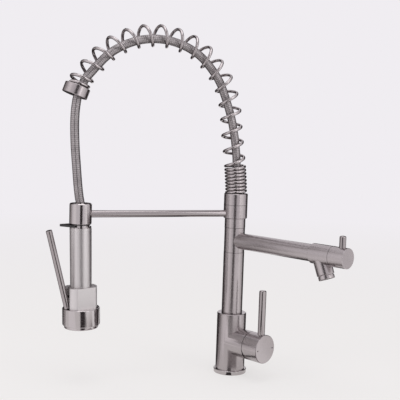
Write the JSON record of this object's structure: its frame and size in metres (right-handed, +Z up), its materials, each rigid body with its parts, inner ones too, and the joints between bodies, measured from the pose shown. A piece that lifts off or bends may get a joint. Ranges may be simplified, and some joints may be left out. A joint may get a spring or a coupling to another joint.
{
  "type": "pull-down kitchen faucet",
  "caption": "Commercial-style kitchen mixer tap: spring arch, pull-down spray handset in a dock arm, and a swinging pot-filler spout with its own valve.",
  "frame": {"origin": "centre of the column's foot on the worktop", "axes": "+Z up along the column; -Y towards the handset along the dock arm at rest; +X towards the mixer and pot-filler side"},
  "size_m": [0.247, 0.4386, 0.5828],
  "materials": {
    "brushed": "brushed nickel, satin, round each cylinder",
    "satin": "fine satin nickel",
    "polished": "polished",
    "wire": "satin drawn wire",
    "braid": "fine braided steel",
    "brass": "machined",
    "rubber": "matte",
    "black": "satin black",
    "ivory": "moulded",
    "gray_plastic": "moulded",
    "dark_mark": "enamel dot"
  },
  "bodies": {
    "base": {"base_body": "brushed", "base_gasket": "rubber", "base_flange": "brushed", "mixer_cartridge": "ivory", "cartridge_nut": "brass", "trim_dome": "polished", "column_pipe": "brass", "riser_sleeve": "brushed", "slip_rings": "ivory", "spacer_ring": "brushed", "swivel_o_rings": "rubber", "pipe_retainer": "brass"},
    "cartridge": {"cartridge_carrier": "gray_plastic"},
    "handle": {"mixer_cap": "brushed", "cartridge_stem": "polished", "mixer_lever": "brushed", "cap_set_screw": "black", "hot_index": "dark_mark", "cold_index": "dark_mark"},
    "filler": {"filler_collar": "brushed", "collar_bushes": "ivory", "filler_arm": "brushed", "filler_valve_body": "brushed", "filler_headwork": "brass", "aerator_housing": "brushed", "aerator_insert": "ivory"},
    "knob": {"filler_knob": "brushed", "filler_spindle": "brass", "filler_pin": "brushed"},
    "dock": {"dock_hub": "brushed", "hub_bushes": "ivory", "spring_seat": "brushed", "hose_root": "polished", "dock_rod": "brushed", "dock_ring": "brushed", "dock_liner": "black", "arch_spring": "wire", "arch_hose": "braid", "gland_collar": "brushed", "gland_bush": "rubber", "hose_drop": "braid"},
    "hose_end": {"hose_ferrule": "braid", "hose_nut": "brass"},
    "handset": {"handset_neck": "satin", "neck_screw": "black", "grip_tube": "satin", "water_tube": "brass", "valve_block": "satin", "valve_cartridge": "ivory", "trigger_pin": "polished", "spray_head": "brushed", "head_gasket": "rubber", "spray_bezel": "brushed", "spray_plate": "black", "spray_nozzles": "rubber"},
    "lever": {"spray_lever": "brushed"},
    "plunger": {"valve_plunger": "brass"},
    "clip": {"hold_clip": "black"}
  },
  "joints": [
    {"name": "mixer_temperature", "type": "hinge", "parent": "base", "child": "cartridge", "pos_m": [0.0506, 0.02468, 0.055], "axis": [0.8988, 0.4384, 0], "range_deg": [-45, 45]},
    {"name": "mixer_flow", "type": "hinge", "parent": "cartridge", "child": "handle", "pos_m": [0.0506, 0.02468, 0.055], "axis": [-0.4384, 0.8988, 0], "range_deg": [0, 15]},
    {"name": "filler_swivel", "type": "hinge", "parent": "base", "child": "filler", "pos_m": [0, 0, 0.229], "axis": [0, 0, 1], "range_deg": [-180, 180]},
    {"name": "filler_valve", "type": "hinge", "parent": "filler", "child": "knob", "pos_m": [0.19773, 0.09644, 0.2291], "axis": [0.8988, 0.4384, 0], "range_deg": [0, 90]},
    {"name": "dock_swivel", "type": "hinge", "parent": "base", "child": "dock", "pos_m": [0, 0, 0.28], "axis": [0, 0, 1], "range_deg": [-180, 180]},
    {"name": "handset_pull", "type": "slide", "parent": "dock", "child": "hose_end", "axis": [0, 0.0244, -0.9997], "range_m": [0, 0.18], "stiffness_N_per_m": 150, "springref_m": -0.1, "deforming": ["hose_drop"]},
    {"name": "handset_swivel", "type": "hinge", "parent": "hose_end", "child": "handset", "pos_m": [0, -0.265, 0.26795], "axis": [0, -0.0244, 0.9997], "range_deg": [-90, 90]},
    {"name": "lever_press", "type": "hinge", "parent": "handset", "child": "lever", "pos_m": [0.00562, -0.27889, 0.12787], "axis": [-0.9511, -0.3089, -0.0075], "range_deg": [0, 12], "stiffness_Nm_per_rad": 1, "springref_deg": -11.46},
    {"name": "plunger_slide", "type": "slide", "parent": "handset", "child": "plunger", "axis": [-0.309, 0.9508, 0.0232], "range_m": [0, 0.0034]},
    {"name": "clip_turn", "type": "hinge", "parent": "handset", "child": "clip", "pos_m": [0, -0.265, 0.26795], "axis": [0, -0.0244, 0.9997], "range_deg": [-60, 0]}
  ],
  "couplings": [
    {"joint": "plunger_slide", "follows": "lever_press", "m_per_rad": 0.0155}
  ]
}
